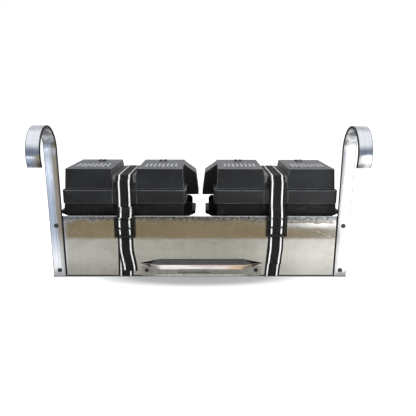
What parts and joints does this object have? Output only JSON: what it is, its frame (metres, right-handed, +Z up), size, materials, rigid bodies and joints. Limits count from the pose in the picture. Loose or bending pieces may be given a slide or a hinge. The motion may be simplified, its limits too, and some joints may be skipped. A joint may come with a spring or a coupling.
{
  "type": "battery box carrier",
  "caption": "Metal tray with hooks to hang it on a rail, holding plastic battery boxes side by side, each held down by a webbing strap with a ladder buckle.",
  "frame": {"origin": "on the surface the carrier stands on, under the middle of its footprint", "axes": "+X along the tray, -Y towards the side that the hooks reach out to, +Z up"},
  "size_m": [0.746, 0.3418, 0.3836],
  "materials": {
    "polished_sheet": "polished sheet with fine scratches",
    "bar_aluminium": "brushed lengthwise",
    "fastener_steel": "dull zinc plate",
    "bright_trim": "bright",
    "tub_plastic": "fine texture",
    "lid_plastic": "fine texture, satin",
    "cap_plastic": "satin",
    "webbing": "ribbed weave with two pale stripes",
    "buckle_plastic": "satin"
  },
  "bodies": {
    "carrier": {"tray_floor": "polished_sheet", "tray_front": "polished_sheet", "tray_rear": "polished_sheet", "tray_left_end": "polished_sheet", "tray_right_end": "polished_sheet", "left_hook": "bar_aluminium", "right_hook": "bar_aluminium", "hook_screws": "fastener_steel", "hook_nuts": "fastener_steel", "trim_plate": "bright_trim", "trim_screws": "fastener_steel", "trim_nuts": "fastener_steel", "left_tub": "tub_plastic", "right_tub": "tub_plastic", "left_tub_handles": "tub_plastic", "right_tub_handles": "tub_plastic", "left_strap_lower": "webbing", "right_strap_lower": "webbing"},
    "left_lid_body": {"left_lid": "lid_plastic", "left_lid_lobes": "lid_plastic", "left_lid_hood": "lid_plastic", "left_vent_caps": "cap_plastic", "left_strap_upper": "webbing", "left_strap_tab": "webbing"},
    "left_buckle_body": {"left_buckle": "buckle_plastic", "left_strap_loop": "webbing"},
    "left_tail_body": {"left_strap_tail": "webbing"},
    "right_lid_body": {"right_lid": "lid_plastic", "right_lid_lobes": "lid_plastic", "right_lid_hood": "lid_plastic", "right_vent_caps": "cap_plastic", "right_strap_upper": "webbing", "right_strap_tab": "webbing"},
    "right_buckle_body": {"right_buckle": "buckle_plastic", "right_strap_loop": "webbing"},
    "right_tail_body": {"right_strap_tail": "webbing"}
  },
  "joints": [
    {"name": "left_lid_lift", "type": "slide", "parent": "carrier", "child": "left_lid_body", "axis": [0, 0, 1], "range_m": [0, 0.045]},
    {"name": "left_buckle_tilt", "type": "hinge", "parent": "left_lid_body", "child": "left_buckle_body", "pos_m": [-0.1875, -0.051, 0.1561], "axis": [-1, 0, 0], "range_deg": [0, 50]},
    {"name": "left_tail_lift", "type": "hinge", "parent": "left_buckle_body", "child": "left_tail_body", "pos_m": [-0.1875, -0.0497, 0.1024], "axis": [-1, 0, 0], "range_deg": [0, 85]},
    {"name": "right_lid_lift", "type": "slide", "parent": "carrier", "child": "right_lid_body", "axis": [0, 0, 1], "range_m": [0, 0.045]},
    {"name": "right_buckle_tilt", "type": "hinge", "parent": "right_lid_body", "child": "right_buckle_body", "pos_m": [0.1904, -0.051, 0.1589], "axis": [-1, 0, 0], "range_deg": [0, 50]},
    {"name": "right_tail_lift", "type": "hinge", "parent": "right_buckle_body", "child": "right_tail_body", "pos_m": [0.1904, -0.0497, 0.1052], "axis": [-1, 0, 0], "range_deg": [0, 85]}
  ]
}
